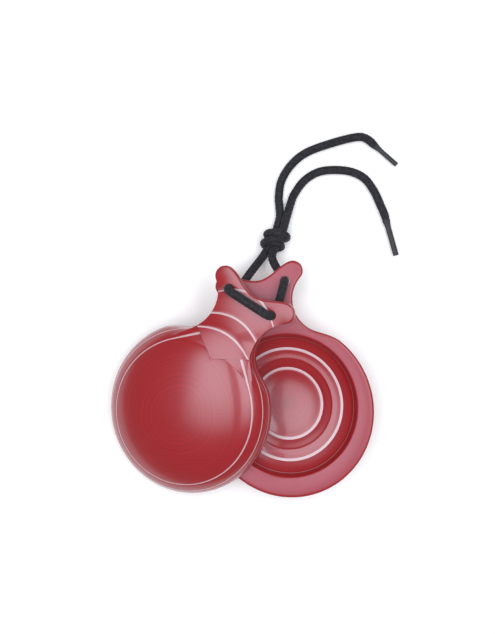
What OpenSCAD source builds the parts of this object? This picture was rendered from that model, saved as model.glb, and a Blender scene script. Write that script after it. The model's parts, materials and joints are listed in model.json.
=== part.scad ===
// Castanet pair: two laminated fibre shells strung on one braided cord.
// The lower shell lies on its dome with its playing face up. The upper shell is swung out
// to the left on the cord and leans over the lower one's rim, its own rim on the table.
// Frame: +Z up, table at Z = 0, origin under the middle of the two shells.

/* [Shell] */
// Widest half width of a shell's round part, mm
half_width = 35.7; // [33:0.1:38]
// Half length of the round part, mm
half_length = 37.4; // [35:0.1:40]
// How far the middle of the round part lies below the shell's own centre, mm
round_drop = 1.8; // [1:0.1:3]
// Height of the dome above the playing face, mm
dome_height = 16; // [15:0.1:18]
// Thickness of each pale layer, mm
pale_layer = 0.3; // [0.2:0.05:0.5]
// Step from one pale layer to the next, mm
layer_step = 3.1; // [2.9:0.05:3.3]
// Width of the rounding round the outer edge of the playing face, mm
rim_round = 1.5; // [1:0.1:1.7]

/* [Neck and ears] */
// Half width of the waist between the round part and the ears, mm
waist = 11.5; // [11:0.1:13]
// Distance of the waist from the shell's centre, mm
waist_y = 40.6; // [40:0.1:42]
// Radius of the hollowed side of the neck, mm
waist_radius = 14.3; // [13.8:0.1:15]
// Sideways place of the middle of each ear tip, mm
ear_x = 14.6; // [14:0.1:15.5]
// Radius of an ear tip, mm
ear_radius = 4.3; // [4:0.1:4.6]
// Lowest point of the dip between the ears, mm
dip_y = 54.7; // [54.2:0.1:55.5]
// Rounding of an ear's dome-side edge, mm
ear_rounding = 0.9; // [0.5:0.1:1.2]

/* [Neck block] */
// Where the neck block's pointed lip starts on the dome, mm
lip_y = 25.8; // [25:0.1:27]
// Slope of the lip's two sides
lip_slope = 0.578; // [0.5:0.01:0.65]
// Height of the lip over the dome, mm
lip_height = 1; // [0.6:0.1:1.3]

/* [Hollow] */
// Radius of the hollow at the playing face, mm
hollow_radius = 30.3; // [28:0.1:31]
// Depth of the hollow in the middle, mm
hollow_depth = 11.5; // [10.8:0.1:12.5]
// Radius of the hollow's inner step, mm
step_radius = 18.8; // [17:0.1:20]
// How much longer than round the hollow is along the shell, parts of one
hollow_oval = 0.025; // [0:0.005:0.03]

/* [Cord] */
// Diameter of the braided cord, mm
cord_d = 3.6; // [3:0.1:3.8]
// Clearance of the cord all round in its holes, mm
cord_gap = 0.2; // [0.2:0.1:0.6]
// Half the distance between the two cord holes, mm
hole_x = 10.4; // [10:0.1:11]
// Distance of the cord holes from the shell's centre, mm
hole_y = 52; // [51:0.1:52.5]
// Diameter of the sleeve at each cord end, mm
aglet_d = 2.6; // [2:0.1:3]
// Length of the sleeve on the long tail, mm
long_aglet_length = 12.5; // [10:0.5:15]
// Length of the sleeve on the short tail, mm
short_aglet_length = 16; // [10:0.5:18]

/* [Pose] */
// Direction of the lower shell's tilt axis, degrees from +X
tilt_dir = 110; // [105:1:115]
// Direction of the lower shell's long axis, degrees from +X
lower_dir = 103.0; // [100:0.1:108]
// Roll of the lower shell on its dome, degrees
lower_roll = 5; // [4:0.1:6]
// Lean of the upper shell over the lower one's rim, degrees
lean_angle = 14.8; // [12:0.1:15.5]
// Swing of the upper shell from closed to its place at rest, degrees
swing_angle = 44.5; // [42:0.1:48]
// Gap between the two playing faces when the pair is closed, mm
face_gap = 0.4; // [0.3:0.1:1]

/* [Hidden] */

// Heights of the two faces of each pale layer over the playing face
pale_lo = [for (i = [1:3]) i * layer_step - pale_layer / 2];
pale_hi = [for (i = [1:3]) i * layer_step + pale_layer / 2];

// Fullness of the dome across the shell, and along its ridge toward the neck
side_fullness = 2.2;
ridge_fullness = 2.83;
function fall(z, n) = sqrt(max(0, 1 - pow(min(z / dome_height, 1), n)));
function dome_x(z) = half_width * fall(z, side_fullness);
function dome_y(z) = half_length * fall(z, side_fullness);
function ridge(z) = half_length * fall(z, ridge_fullness) - dome_y(z);
function dome_point(z, a) = [
    dome_x(z) * cos(a),
    dome_y(z) * sin(a) - round_drop + (a > 0 ? ridge(z) * pow(sin(a), 4) : 0)];

// Points along a smooth curve that leaves p in direction u and arrives at q in direction v
function unit(v) = v / norm(v);
function bezier(p, u, v, q, t) =
    pow(1 - t, 3) * p + 3 * pow(1 - t, 2) * t * (p + u) + 3 * (1 - t) * t * t * (q - v)
    + pow(t, 3) * q;
function bend(p, u, v, q, n) = let (k = norm(q - p) / 3)
    [for (i = [0:n - 1]) bezier(p, k * unit(u), k * unit(v), q, i / n)];

// Side of the neck: a hollowed arc that draws in a little with height
draw_in = 0.06;
side_x = waist + waist_radius;
function side_r(z) = waist_radius + draw_in * z;
function side_point(z, a) = [side_x + side_r(z) * cos(a), waist_y + side_r(z) * sin(a)];

// Neck top: how far it reaches along the shell at a given height, and the angles at which
// it starts and ends on the neck's hollowed side
lip_z = 12.5;
corner_z = pale_lo[2];
function reach(z) = lookup(z, [
    [2.85, 56], [3.1, 55.3], [4.6, 48.6], [6.2, 43.7], [7.7, 40.2], [corner_z, 37.5],
    [9.3, 37], [11, 31.8], [lip_z, lip_y]]);
function shoulder_a(z) = lookup(z, [[0, 243], [3.1, 241], [6.2, 232], [8.05, 214]]);
function corner_a(z) = lookup(z, [[3.1, 146], [4.6, 164], [6.2, 181.7], [corner_z, 209.5]]);

// Curvature of the neck top across the shell where it runs out on the lip
lip_curve = 0.0256;
least_lip_x = 0.4;
function lip_point(z) = let (
    h = max(0, reach(z) - lip_y),
    x = (sqrt(pow(lip_slope, 2) + 4 * lip_curve * h) - lip_slope) / (2 * lip_curve),
    w = max(x, least_lip_x)) [w, lip_y + lip_slope * w];
function corner(z) = z < corner_z ? side_point(z, corner_a(z)) : lip_point(z);

// Foot of the lip's side: where the dome's outline meets the lip in plan, or the lip's own
// height below its edge where the shoulder has risen to it
function lip_side(z, a) = let (p = dome_point(z, a)) p.y - lip_y - lip_slope * p.x;
function meet(z, lo, hi, n) = let (a = (lo + hi) / 2)
    n == 0 ? a : lip_side(z, a) > 0 ? meet(z, lo, a, n - 1) : meet(z, a, hi, n - 1);
function foot(z) = let (x = max(lip_point(z + lip_height).x, dome_point(z, meet(z, 60, 90, 12)).x))
    z < corner_z ? corner(z + lip_height) : [x, lip_y + lip_slope * x];

// Right half of the outline at a height above the ears, from the low end to the middle
disc_n = 18;
shoulder_n = 4;
side_n = 6;
top_n = 9;
function disc_end(z) = lookup(z, [
    [0, 38], [9.3, 46], [10.4, 66], [10.8, 77], [11.4, 82], [12, 87.5], [lip_z, dome_end]]);
function disc(z, end) = [for (i = [0:disc_n - 1]) dome_point(z, -90 + (end + 90) * i / disc_n)];
function along(p, q, n) = [for (i = [0:n - 1]) p + (q - p) * i / n];
function dome_turn(z, a) = [-dome_x(z) * sin(a), dome_y(z) * cos(a)];
function side(z) = z < corner_z - lip_height
    ? [for (i = [0:side_n - 1])
        side_point(z, shoulder_a(z) + (corner_a(z) - shoulder_a(z)) * i / side_n)]
    : along(foot(z), corner(z), side_n);
function shoulder(z) = let (
    e = disc_end(z),
    p = dome_point(z, e),
    s = side(z)[0],
    a = shoulder_a(z),
    v = z < corner_z - lip_height ? [sin(a), -cos(a)] : s - p)
    bend(p, dome_turn(z, e), v, s, shoulder_n);
dip_curve = 0.05;
dip_margin = 0.5;
function top(z) = let (c = corner(z), r = reach(z)) [for (i = [0:top_n]) let (
    x = c.x * (1 - i / top_n))
    [x, min(r - (r - c.y) * pow(x / c.x, 2), dip_y - dip_margin + dip_curve * x * x)]];
dome_end = 88.5;
function dome_half(z) = concat(disc(z, dome_end),
    [for (i = [0:shoulder_n + side_n + top_n])
        dome_point(z, dome_end + (90 - dome_end) * i / (shoulder_n + side_n + top_n))]);
function neck_half(z) = z < lip_z ? concat(disc(z, disc_end(z)), shoulder(z), side(z), top(z))
    : dome_half(z);

// Right half of the face ply's outline, which alone carries the ears
ear_n = 8;
crest_n = 6;
crest_a = 100;
ear_y = waist_y + sqrt(pow(waist_radius + ear_radius, 2) - pow(side_x - ear_x, 2));
ear_a = atan2(waist_y - ear_y, side_x - ear_x);
crest_out = [4.5, 0];
function rounding(z) = let (h = max(0, z - pale_lo[0] + ear_rounding))
    ear_rounding - sqrt(pow(ear_rounding, 2) - h * h);
function ear_half(z) = let (
    e = disc_end(z),
    r = ear_radius - rounding(z),
    first = shoulder_a(z),
    last = 180 + ear_a,
    from = [ear_x + r * cos(crest_a), ear_y + r * sin(crest_a)],
    to = [0, dip_y - rounding(z)])
    concat(
        disc(z, e),
        bend(dome_point(z, e), dome_turn(z, e), [sin(first), -cos(first)],
            side_point(z, first), shoulder_n),
        [for (i = [0:side_n - 1]) side_point(z, first + (last - first) * i / side_n)],
        [for (i = [0:ear_n - 1]) let (a = ear_a + (crest_a - ear_a) * i / ear_n)
            [ear_x + r * cos(a), ear_y + r * sin(a)]],
        bend(from, [-sin(crest_a), cos(crest_a)], [-1, 0], to, crest_n),
        [to]);

// Whole outline from its right half, and the face ply's outline, whose edge rounds off
function whole(half) = concat(half, [for (i = [len(half) - 2:-1:1]) [-half[i].x, half[i].y]]);
rim_fall = 0.8;
function rim_inset(z) = rim_round * (1 - sqrt(1 - pow(max(0, 1 - z / rim_fall), 2)));
function inset(p, d) = let (n = len(p)) [for (i = [0:n - 1]) let (
    t = unit(p[(i + 1) % n] - p[(i + n - 1) % n])) p[i] + d * [-t.y, t.x]];
function face_outline(z) = inset(whole(ear_half(z)), rim_inset(z));

// The hollow's ring at one radius
ring_n = 56;
function ring(r) = [for (i = [0:ring_n - 1]) let (a = -90 + 360 * i / ring_n)
    [r * (1 - hollow_oval) * cos(a), r * (1 + hollow_oval) * sin(a)]];
function lift(points, z) = [for (p = points) [p.x, p.y, z]];

// Faces of a solid made of stacked outer rings and stacked inner rings
function flat(list) = [for (part = list) each part];
function wall(a, b, n) = [for (i = [0:n - 1]) let (j = (i + 1) % n)
    each [[a + i, b + i, b + j], [a + i, b + j, a + j]]];
function bore(a, b, n) = [for (i = [0:n - 1]) let (j = (i + 1) % n)
    each [[a + i, b + j, b + i], [a + i, a + j, b + j]]];
// Faces between an outline and the hollow's ring at the same height: a strip round the
// disc, then a fan over the neck from the ring's top, or from the outline's where it has a lip
function ring_step(p) = round(ring_n / 2 * (atan2(p.y, p.x) + 90) / 180);
function half_cap(points, z) = let (
    n = len(points),
    fan = disc_n + shoulder_n + (z < corner_z ? 2 : 0),
    at = [for (k = [0:fan]) k == 0 ? 0 : k == fan ? ring_n / 2 : ring_step(points[k])])
    concat(
        [for (k = [0:fan - 1]) each concat(
            [[[0, k], [0, k + 1], [1, at[k + 1]]]],
            [for (j = [at[k]:1:at[k + 1] - 1]) [[0, k], [1, j + 1], [1, j]]])],
        z < corner_z
            ? [for (k = [fan:n / 2 - 1]) [[1, ring_n / 2], [0, k], [0, k + 1]]]
            : concat([[[1, ring_n / 2], [0, fan], [0, n / 2]]],
                [for (k = [fan:n / 2 - 2]) [[0, n / 2], [0, k], [0, k + 1]]]));
function index(c, n, o, i) = c[0] == 0 ? o + c[1] % n : i + c[1] % ring_n;
function other(c, n) = c[0] == 0 ? [0, n - c[1]] : [1, ring_n - c[1]];
function cap(points, z, o, i) = let (n = len(points), half = half_cap(points, z)) concat(
    [for (f = half) [for (c = f) index(c, n, o, i)]],
    [for (f = half) [for (k = [2:-1:0]) index(other(f[k], n), n, o, i)]]);
function turned(faces) = [for (f = faces) [f[2], f[1], f[0]]];

// One ply: outlines = [[height, outline] ...], hollow = [[radius, height] ...] upward.
// An open ply is a ring; a closed one ends in a peak outside and a floor inside.
module ply(outlines, hollow, closed = false) {
    n = len(outlines[0][1]);
    rows = len(outlines);
    inner = rows * n;
    inner_rows = len(hollow) - (closed ? 1 : 0);
    peak = inner + inner_rows * ring_n;
    top_row = (rows - 1) * n;
    top_inner = inner + (inner_rows - 1) * ring_n;
    polyhedron(
        points = concat(
            flat([for (o = outlines) lift(o[1], o[0])]),
            flat([for (k = [0:inner_rows - 1]) lift(ring(hollow[k][0]), hollow[k][1])]),
            closed ? [[0, -round_drop, dome_height], [0, 0, hollow[inner_rows][1]]] : []),
        faces = concat(
            flat([for (k = [0:rows - 2]) wall(k * n, (k + 1) * n, n)]),
            flat([for (k = [0:inner_rows - 2])
                bore(inner + k * ring_n, inner + (k + 1) * ring_n, ring_n)]),
            cap(outlines[0][1], outlines[0][0], 0, inner),
            closed
            ? concat(
                [for (i = [0:n - 1]) [top_row + i, peak, top_row + (i + 1) % n]],
                [for (i = [0:ring_n - 1])
                    [top_inner + i, top_inner + (i + 1) % ring_n, peak + 1]])
            : turned(cap(outlines[rows - 1][1], outlines[rows - 1][0], top_row, top_inner))),
        convexity = 6);
}

// Profile of the hollow, from the mouth to the floor, as radius and height
mouth_edge = 0.7;
hollow = [
    [hollow_radius, 0], [hollow_radius - mouth_edge, 0.4],
    [hollow_radius - 1.3, 1.5], [hollow_radius - 1.8, pale_lo[0]],
    [hollow_radius - 1.9, pale_hi[0]], [hollow_radius - 2.7, 4], [hollow_radius - 4.2, 5],
    [hollow_radius - 6.2, pale_lo[1]],
    [step_radius + 4.2, pale_hi[1]], [step_radius + 2.4, 6.9], [step_radius + 0.7, 7.2],
    [step_radius, 7.6], [step_radius - 1.8, 8.4], [step_radius - 3.3, pale_lo[2]],
    [step_radius - 4.4, pale_hi[2]], [10, hollow_depth - 0.8], [5, hollow_depth - 0.2],
    [0, hollow_depth]];
function part_of(from, to) = [for (i = [from:to]) hollow[i]];
function outlines(levels) = [for (z = levels) [z, whole(neck_half(z))]];

module cord_holes() {
    for (side = [-1, 1])
        translate([side * hole_x, hole_y, -1])
            cylinder(d = cord_d + 2 * cord_gap, h = dome_height, $fn = 48);
}

ear_levels = [0, 0.12, 0.4, rim_fall, 1.95, 2.5, 2.75, pale_lo[0]];
ply_2_levels = [pale_hi[0], 4.2, 5.1, pale_lo[1]];
ply_3_levels = [pale_hi[1], 7.3, corner_z - lip_height - 0.01, corner_z];
crown_levels = [pale_hi[2], 10.3, 11, 11.8, 12.45, lip_z, 13.3, 14.1, 14.9, 15.5, 15.87];

module face_ply() {
    difference() {
        ply([for (z = ear_levels) [z, face_outline(z)]], part_of(0, 3));
        cord_holes();
    }
}

module pale_ply_1() {
    difference() {
        ply(outlines([pale_lo[0], pale_hi[0]]), part_of(3, 4));
        cord_holes();
    }
}

module ply_2() {
    difference() {
        ply(outlines(ply_2_levels), part_of(4, 7));
        cord_holes();
    }
}

module pale_ply_2() { ply(outlines([pale_lo[1], pale_hi[1]]), part_of(7, 8)); }

module ply_3() { ply(outlines(ply_3_levels), part_of(8, 13)); }

module pale_ply_3() { ply(outlines([pale_lo[2], pale_hi[2]]), part_of(13, 14)); }

module crown() { ply(outlines(crown_levels), part_of(14, 17), closed = true); }

// Rigid placements as matrices, so that sizes and places come from one source
function move(v) = [[1, 0, 0, v.x], [0, 1, 0, v.y], [0, 0, 1, v.z], [0, 0, 0, 1]];
function turn(u, a) = let (c = cos(a), s = sin(a), d = 1 - cos(a)) [
    [c + u.x * u.x * d, u.x * u.y * d - u.z * s, u.x * u.z * d + u.y * s, 0],
    [u.y * u.x * d + u.z * s, c + u.y * u.y * d, u.y * u.z * d - u.x * s, 0],
    [u.z * u.x * d - u.y * s, u.z * u.y * d + u.x * s, c + u.z * u.z * d, 0],
    [0, 0, 0, 1]];
function turn_at(p, u, a) = move(p) * turn(u, a) * move(-p);
function place(m, p) = let (q = m * [p.x, p.y, p.z, 1]) [q.x, q.y, q.z];

// The upper shell's place over the lower one: a swing about the cord in the playing
// plane, then a lean about a line that just clears the lower shell's rim
swing_pivot = [-8.1, 53.5, 0];
lean_dir = 7.0;
lean_clear = 0.3;
low_side = [-cos(lean_dir), -sin(lean_dir), 0];
lean_line = [-sin(lean_dir), cos(lean_dir), 0];
lean_reach = norm([half_width * low_side.x, half_length * low_side.y])
    - round_drop * low_side.y + lean_clear;
lean_at = lean_reach * low_side + [0, 0, face_gap];
over = turn_at(lean_at, lean_line, -lean_angle) * turn_at(swing_pivot, [0, 0, 1], -swing_angle)
    * move([0, 0, face_gap]);

// The lower shell's place on the table, from its lowest point, and the middle of the pair
function shell_points() = concat(
    [for (z = ear_levels) each lift(face_outline(z), z)],
    [for (z = concat(ply_2_levels, ply_3_levels, crown_levels)) each lift(whole(neck_half(z)), z)],
    [[0, -round_drop, dome_height]]);
tilted = turn([cos(tilt_dir), sin(tilt_dir), 0], -lower_roll) * turn([0, 0, 1], lower_dir - 90);
flip = turn([0, 1, 0], 180);
lower_points = [for (p = shell_points()) place(tilted * flip, p)];
upper_points = [for (p = shell_points()) place(tilted * over, p)];
both_x = [for (p = concat(lower_points, upper_points)) p.x];
both_y = [for (p = concat(lower_points, upper_points)) p.y];
seat = move([-(min(both_x) + max(both_x)) / 2, -(min(both_y) + max(both_y)) / 2,
    -min([for (p = lower_points) p.z])]) * tilted;
module lower() { multmatrix(seat * flip) children(); }
module upper() { multmatrix(seat * over) children(); }

// Cord: a round tube swept along points, its rings carried without twist
cord_sides = 8;
function along_at(p, i) = unit(p[min(i + 1, len(p) - 1)] - p[max(i - 1, 0)]);
function across(v, t) = unit(v - (v * t) * t);
function carried(p, v, i = 0) = i == len(p) ? []
    : let (w = across(v, along_at(p, i))) concat([w], carried(p, w, i + 1));
function tube_ring(c, t, w, r) = [for (k = [0:cord_sides - 1]) let (a = 360 * k / cord_sides)
    c + r * (cos(a) * w + sin(a) * cross(t, w))];
module tube(path, start) {
    w = carried(path, start);
    n = len(path);
    last = (n - 1) * cord_sides;
    polyhedron(
        points = flat([for (i = [0:n - 1]) tube_ring(path[i], along_at(path, i), w[i], cord_d / 2)]),
        faces = concat(
            flat([for (i = [0:n - 2]) wall(i * cord_sides, (i + 1) * cord_sides, cord_sides)]),
            [for (k = [1:cord_sides - 2]) [0, k, k + 1]],
            [for (k = [1:cord_sides - 2]) [last, last + k + 1, last + k]]),
        convexity = 8);
}
function spline(p, n) = concat([for (i = [0:len(p) - 2]) let (
    a = p[max(i - 1, 0)], b = p[i], c = p[i + 1], d = p[min(i + 2, len(p) - 1)])
    each [for (k = [0:n - 1]) let (t = k / n)
        0.5 * (2 * b + (c - a) * t + (2 * a - 5 * b + 4 * c - d) * t * t
            + (3 * b - a - 3 * c + d) * t * t * t)]], [p[len(p) - 1]]);
function in_seat(points) = [for (p = points) place(seat, p)];

// Strand through the bore of each hole, and the strands' ways behind and between the shells
up = [0, 0, 1];
function hole(side) = [side * hole_x, hole_y, 0];
bore_run = 3.4;
left_back = spline(concat(
    in_seat([hole(-1), hole(-1) - bore_run / 2 * up, hole(-1) - bore_run * up,
        hole(-1) + [0.45, 0.45, -5.2], hole(-1) + [2, 2.2, -6.3], hole(-1) + [6.8, 7.3, -6.8]]),
    [[6.5, 48.2, 8], [10.1, 53, 5.6], [12.6, 57.5, 3.6]]), 3);
right_back = spline(concat(
    in_seat([hole(1), hole(1) - bore_run / 2 * up, hole(1) - bore_run * up,
        hole(1) + [-0.15, 0.6, -5.2], hole(1) + [-0.8, 2.8, -6.3], hole(1) + [-2.6, 8.1, -6.8]]),
    [[13.4, 53, 8.5], [15.4, 57.5, 6.4]]), 4);
between_n = 12;
end_gap = 0.05;
end_run = 0.5;
function between(side) = let (
    p = hole(side),
    q = place(over, p),
    v = place(over, p + up) - q,
    a = p + end_run * up,
    b = q - end_run * v)
    in_seat(concat([p + end_gap * up], bend(a, up, v, b, between_n), [b, q - end_gap * v]));

// Strand across the neck of the upper shell, in that shell's own frame
bridge_r = 2.5;
bridge_z = 3.7;
bridge_half = concat(
    [for (z = [0, bridge_z / 3, bridge_z * 2 / 3]) [-hole_x, hole_y, z]],
    [for (a = [180:-30:90])
        [-hole_x + bridge_r + bridge_r * cos(a), hole_y, bridge_z + bridge_r * sin(a)]],
    [[-hole_x / 2, hole_y, bridge_z + bridge_r]]);
bridge = concat(bridge_half, [[0, hole_y, bridge_z + bridge_r]],
    [for (i = [len(bridge_half) - 1:-1:0])
        [-bridge_half[i].x, bridge_half[i].y, bridge_half[i].z]]);

// The knot lies on the table above the ears, and the two tails run away from it
knot_r = 4.6;
knot_half = 6.3;
knot_at = [15.2, 60.4, 4.65];
knot_turn = -9;
lying = cord_d / 2 + 0.05;
long_path = spline([
    [15.7, 62.6, 2.9], [16.2, 65.3, 2.5], [17.6, 71, 1.95], [17.4, 76, lying],
    [17.2, 80, lying], [18.4, 87, lying], [22.7, 94, lying], [29.6, 99.6, lying],
    [41.3, 104, lying], [51.6, 106.6, lying], [56.2, 106, lying], [60.4, 102.6, lying]], 4);
short_path = spline([
    [17.9, 62.8, 5.9], [19, 65.3, 5.3], [20.6, 71, 4.2], [22.6, 77.4, 2.4], [24.2, 81.2, lying],
    [28.5, 87, lying], [34.5, 90.8, lying], [41.3, 91.9, lying], [49.2, 91.2, lying],
    [55.4, 88.2, lying], [59.8, 82.3, lying], [62.4, 76.6, lying], [64.2, 72.4, lying],
    [65.1, 69.4, lying]], 3);
knot_n = 12;

module knot_body() {
    translate(knot_at) rotate([0, 90, knot_turn]) rotate_extrude($fn = 48)
        polygon([for (i = [0:knot_n]) let (a = -90 + 180 * i / knot_n)
            [knot_r * cos(a), knot_half * sin(a)]]);
}

// A sleeve that carries on straight from the end of a tail
module sleeve(path, length) {
    e = path[len(path) - 1];
    u = unit(e - path[len(path) - 2]);
    translate(e) rotate([0, 90, atan2(u.y, u.x)]) cylinder(d = aglet_d, h = length, $fn = 48);
}

module lower_face_ply() { color("firebrick") lower() face_ply(); }
module lower_pale_ply_1() { color("mistyrose") lower() pale_ply_1(); }
module lower_ply_2() { color("firebrick") lower() ply_2(); }
module lower_pale_ply_2() { color("mistyrose") lower() pale_ply_2(); }
module lower_ply_3() { color("firebrick") lower() ply_3(); }
module lower_pale_ply_3() { color("mistyrose") lower() pale_ply_3(); }
module lower_crown() { color("firebrick") lower() crown(); }
module upper_face_ply() { color("brown") upper() face_ply(); }
module upper_pale_ply_1() { color("mistyrose") upper() pale_ply_1(); }
module upper_ply_2() { color("brown") upper() ply_2(); }
module upper_pale_ply_2() { color("mistyrose") upper() pale_ply_2(); }
module upper_ply_3() { color("brown") upper() ply_3(); }
module upper_pale_ply_3() { color("mistyrose") upper() pale_ply_3(); }
module upper_crown() { color("brown") upper() crown(); }
module left_back_strand() { color("dimgray") tube(left_back, [1, 0, 0]); }
module right_back_strand() { color("dimgray") tube(right_back, [1, 0, 0]); }
module left_between_strand() { color("gray") tube(between(-1), [1, 0, 0]); }
module right_between_strand() { color("gray") tube(between(1), [1, 0, 0]); }
module bridge_strand() { color("dimgray") upper() tube(bridge, [1, 0, 0]); }
module cord_knot() { color("gray") knot_body(); }
module long_tail() { color("dimgray") tube(long_path, up); }
module short_tail() { color("dimgray") tube(short_path, up); }
module long_aglet() { color("black") sleeve(long_path, long_aglet_length); }
module short_aglet() { color("black") sleeve(short_path, short_aglet_length); }

lower_face_ply();
lower_pale_ply_1();
lower_ply_2();
lower_pale_ply_2();
lower_ply_3();
lower_pale_ply_3();
lower_crown();
upper_face_ply();
upper_pale_ply_1();
upper_ply_2();
upper_pale_ply_2();
upper_ply_3();
upper_pale_ply_3();
upper_crown();
left_back_strand();
right_back_strand();
left_between_strand();
right_between_strand();
bridge_strand();
cord_knot();
long_tail();
short_tail();
long_aglet();
short_aglet();
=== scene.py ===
"""A pair of laminated castanets on a knotted cord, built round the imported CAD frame.

Every ply of both shells, every stretch of cord, the knot and the cord ends are pieces of
their own. Sizes and colours are properties, and each group of pieces has its operator.
"""

import json
import math

import bmesh
import bpy
from mathutils import Matrix, Vector


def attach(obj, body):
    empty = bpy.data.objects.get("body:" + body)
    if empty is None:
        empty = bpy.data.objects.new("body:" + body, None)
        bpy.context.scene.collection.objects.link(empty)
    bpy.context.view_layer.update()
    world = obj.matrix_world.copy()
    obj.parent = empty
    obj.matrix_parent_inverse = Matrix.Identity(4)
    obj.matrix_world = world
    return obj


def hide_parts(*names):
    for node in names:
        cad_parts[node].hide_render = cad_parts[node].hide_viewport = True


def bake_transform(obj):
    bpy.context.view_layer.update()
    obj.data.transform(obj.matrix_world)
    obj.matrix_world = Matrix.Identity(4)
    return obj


bl_info = {
    "name": "Castanets",
    "version": (1, 0, 0),
    "blender": (4, 5, 0),
    "location": "View3D > Sidebar > Castanets",
    "description": "Builds a pair of laminated castanets on a knotted cord",
    "category": "Add Mesh",
}

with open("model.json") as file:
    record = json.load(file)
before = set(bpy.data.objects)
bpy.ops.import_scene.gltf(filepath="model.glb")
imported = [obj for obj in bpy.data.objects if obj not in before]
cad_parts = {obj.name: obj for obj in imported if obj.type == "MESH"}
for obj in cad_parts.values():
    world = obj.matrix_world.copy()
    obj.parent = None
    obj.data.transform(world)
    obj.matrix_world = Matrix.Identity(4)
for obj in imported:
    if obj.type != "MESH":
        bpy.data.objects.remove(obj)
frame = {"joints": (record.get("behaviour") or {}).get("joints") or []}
MM = 0.001
UP = Vector((0, 0, 1))
PLIES = ("face_ply", "pale_ply_1", "ply_2", "pale_ply_2", "ply_3", "pale_ply_3", "crown")
# How many plies, from the playing face, the cord holes go through
DRILLED = 3


# ---------------------------------------------------------------- properties

class CastanetSizes(bpy.types.PropertyGroup):
    """Sizes of one shell and of the cord, in millimetres, and the pose in degrees"""

    half_width: bpy.props.FloatProperty(
        name="Half width", default=35.7,
        description="Widest half width of a shell's round part, mm")
    half_length: bpy.props.FloatProperty(
        name="Half length", default=37.4,
        description="Half length of the round part, mm")
    round_drop: bpy.props.FloatProperty(
        name="Drop of the round part", default=1.8,
        description="How far the round part's middle lies below the shell's own centre, mm")
    dome_height: bpy.props.FloatProperty(
        name="Dome height", default=16.0,
        description="Height of the dome above the playing face, mm")
    pale_layer: bpy.props.FloatProperty(
        name="Pale layer", default=0.3,
        description="Thickness of each pale layer, mm")
    layer_step: bpy.props.FloatProperty(
        name="Layer step", default=3.1,
        description="Step from one pale layer to the next, mm")
    rim_round: bpy.props.FloatProperty(
        name="Face edge rounding", default=1.5,
        description="Width of the rounding round the outer edge of the playing face, mm")
    waist: bpy.props.FloatProperty(
        name="Waist half width", default=11.5,
        description="Half width of the waist between the round part and the ears, mm")
    waist_y: bpy.props.FloatProperty(
        name="Waist place", default=40.6,
        description="Distance of the waist from the shell's centre, mm")
    waist_radius: bpy.props.FloatProperty(
        name="Waist radius", default=14.3,
        description="Radius of the hollowed side of the neck, mm")
    ear_x: bpy.props.FloatProperty(
        name="Ear place", default=14.6,
        description="Sideways place of the middle of each ear tip, mm")
    ear_radius: bpy.props.FloatProperty(
        name="Ear radius", default=4.3,
        description="Radius of an ear tip, mm")
    dip_y: bpy.props.FloatProperty(
        name="Dip between the ears", default=54.7,
        description="Lowest point of the dip between the ears, mm")
    ear_rounding: bpy.props.FloatProperty(
        name="Ear edge rounding", default=0.9,
        description="Rounding of the ears' edge on the dome's side, mm")
    lip_y: bpy.props.FloatProperty(
        name="Lip start", default=25.8,
        description="Where the pointed lip starts on the dome, mm")
    lip_slope: bpy.props.FloatProperty(
        name="Lip slope", default=0.578,
        description="Slope of the lip's two sides")
    lip_height: bpy.props.FloatProperty(
        name="Lip height", default=1.0,
        description="Height of the lip over the dome, mm")
    hollow_radius: bpy.props.FloatProperty(
        name="Hollow radius", default=30.3,
        description="Radius of the hollow at its mouth, mm")
    hollow_depth: bpy.props.FloatProperty(
        name="Hollow depth", default=11.5,
        description="Depth of the hollow in the middle, mm")
    step_radius: bpy.props.FloatProperty(
        name="Inner step radius", default=18.8,
        description="Radius of the hollow's inner step, mm")
    hollow_oval: bpy.props.FloatProperty(
        name="Hollow oval", default=0.025,
        description="Share by which the hollow is longer, and narrower, than round")
    cord_d: bpy.props.FloatProperty(
        name="Cord diameter", default=3.6,
        description="Diameter of the cord, mm")
    hole_d: bpy.props.FloatProperty(
        name="Cord hole diameter", default=4.0,
        description="Diameter of the cord holes, mm")
    hole_x: bpy.props.FloatProperty(
        name="Cord hole place across", default=10.4,
        description="Sideways place of the cord holes, mm")
    hole_y: bpy.props.FloatProperty(
        name="Cord hole place along", default=52.0,
        description="Distance of the cord holes from the shell's centre, mm")
    long_aglet: bpy.props.FloatProperty(
        name="Long tail's sleeve", default=12.5,
        description="Length of the sleeve on the long tail, mm")
    short_aglet: bpy.props.FloatProperty(
        name="Short tail's sleeve", default=16.0,
        description="Length of the sleeve on the short tail, mm")
    tilt_dir: bpy.props.FloatProperty(
        name="Tilt direction", default=110.0,
        description="Direction of the line that the lower shell rolls about, degrees")
    lower_dir: bpy.props.FloatProperty(
        name="Lower shell direction", default=103.0,
        description="Direction that the lower shell's ears point in, degrees")
    lower_roll: bpy.props.FloatProperty(
        name="Lower shell roll", default=5.0,
        description="How far the lower shell rolls on its dome, degrees")
    lean_angle: bpy.props.FloatProperty(
        name="Lean", default=14.8,
        description="How far the upper shell leans over the lower one's rim, degrees")
    swing_angle: bpy.props.FloatProperty(
        name="Swing", default=44.5,
        description="How far the upper shell is swung aside on the cord, degrees")
    face_gap: bpy.props.FloatProperty(
        name="Closed gap", default=0.4,
        description="Gap between the two playing faces when the pair is shut, mm")


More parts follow.
